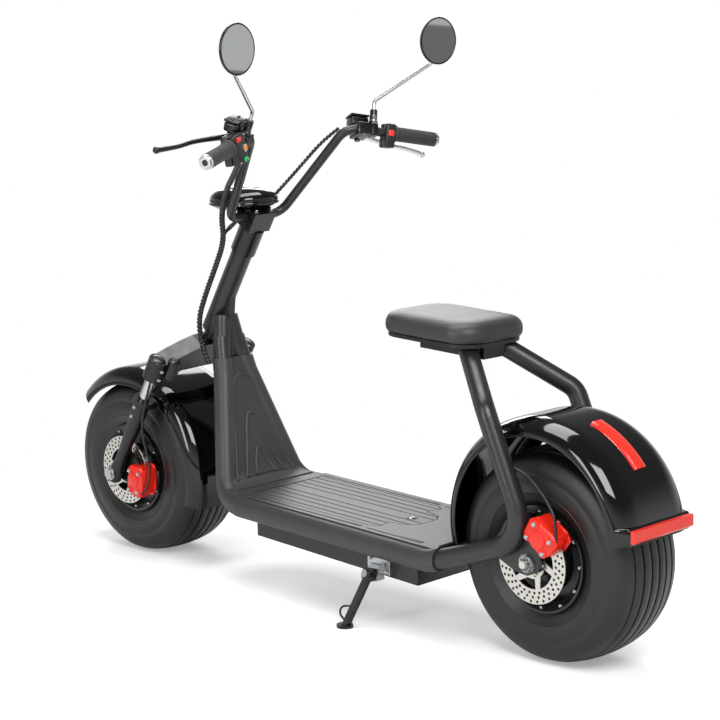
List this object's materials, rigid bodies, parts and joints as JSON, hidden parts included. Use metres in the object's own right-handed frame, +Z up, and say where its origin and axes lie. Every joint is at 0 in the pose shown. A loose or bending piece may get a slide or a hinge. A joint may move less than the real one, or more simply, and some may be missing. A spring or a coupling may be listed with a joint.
{
  "type": "electric scooter",
  "caption": "Fat-tyred electric scooter with a low deck, high handlebar, mirrors and a small seat, leaning on its side stand.",
  "frame": {"origin": "on the floor, under the middle of the whole scooter's bounding box", "axes": "+X forwards, +Y to the rider's left, +Z up"},
  "size_m": [1.8648, 0.8743, 1.3674],
  "materials": {
    "frame_paint": "satin",
    "gloss_black": "gloss",
    "grey_plastic": "matte",
    "black_metal": "satin",
    "seat_vinyl": "matte",
    "tyre_rubber": "matte",
    "grip_rubber": "matte",
    "bright_steel": "brushed",
    "chrome": "polished",
    "red_paint": "gloss",
    "red_lens": "gloss",
    "lamp_lens": "gloss",
    "mirror_silver": "polished",
    "zinc_steel": "satin"
  },
  "bodies": {
    "frame": {"side_tube_left": "frame_paint", "side_tube_right": "frame_paint", "head_tube": "frame_paint", "neck_gusset": "frame_paint", "cross_members": "black_metal", "leg_shield": "grey_plastic", "deck_cover": "grey_plastic", "battery_box": "black_metal", "battery_pack": "black_metal", "seat_bracket": "black_metal", "seat_base": "black_metal", "seat_pad": "seat_vinyl", "rear_fender": "gloss_black", "fender_stays": "black_metal", "tail_light": "red_lens", "tail_reflector": "red_lens", "dropouts": "frame_paint", "rear_axle": "bright_steel", "rear_caliper": "red_paint", "rear_brake_hose": "grip_rubber", "stand_bracket": "zinc_steel"},
    "lid": {"deck_lid": "grey_plastic", "lid_lock": "chrome"},
    "side_stand": {"stand_leg": "zinc_steel"},
    "steering": {"steering_stem": "black_metal", "handlebar": "frame_paint", "fork_crown": "black_metal", "fork_stanchions": "chrome", "fork_lowers": "black_metal", "front_axle": "bright_steel", "front_fender": "gloss_black", "front_caliper": "red_paint", "front_brake_hose": "grip_rubber", "headlight_shell": "gloss_black", "headlight_lens": "lamp_lens", "grips": "grip_rubber", "switch_housings": "black_metal", "brake_levers": "black_metal", "mirror_stems": "chrome", "mirror_heads": "gloss_black", "mirror_glass": "mirror_silver", "cable_loom": "grip_rubber"},
    "front_wheel": {"front_tyre": "tyre_rubber", "front_rim": "black_metal", "front_disc": "bright_steel"},
    "rear_wheel": {"rear_tyre": "tyre_rubber", "rear_rim": "black_metal", "rear_disc": "bright_steel"}
  },
  "joints": [
    {"name": "steering_turn", "type": "hinge", "parent": "frame", "child": "steering", "pos_m": [0.43338, -0.02008, 0.64956], "axis": [-0.5402, 0.0323, 0.8409], "range_deg": [-36.9, 33.1]},
    {"name": "front_wheel_spin", "type": "hinge", "parent": "steering", "child": "front_wheel", "pos_m": [0.7035, -0.03623, 0.22912], "axis": [-0.0279, 0.998, -0.0563], "continuous": true},
    {"name": "rear_wheel_spin", "type": "hinge", "parent": "frame", "child": "rear_wheel", "pos_m": [-0.6835, -0.03623, 0.22912], "axis": [0, 0.9993, -0.0384], "continuous": true},
    {"name": "side_stand_fold", "type": "hinge", "parent": "frame", "child": "side_stand", "pos_m": [-0.2375, 0.11176, 0.12186], "axis": [0.0933, 0.9453, 0.3126], "range_deg": [0, 105.5]},
    {"name": "lid_open", "type": "hinge", "parent": "frame", "child": "lid", "pos_m": [0.1935, -0.03591, 0.2374], "axis": [0, 0.9993, -0.0384], "range_deg": [0, 75]}
  ]
}
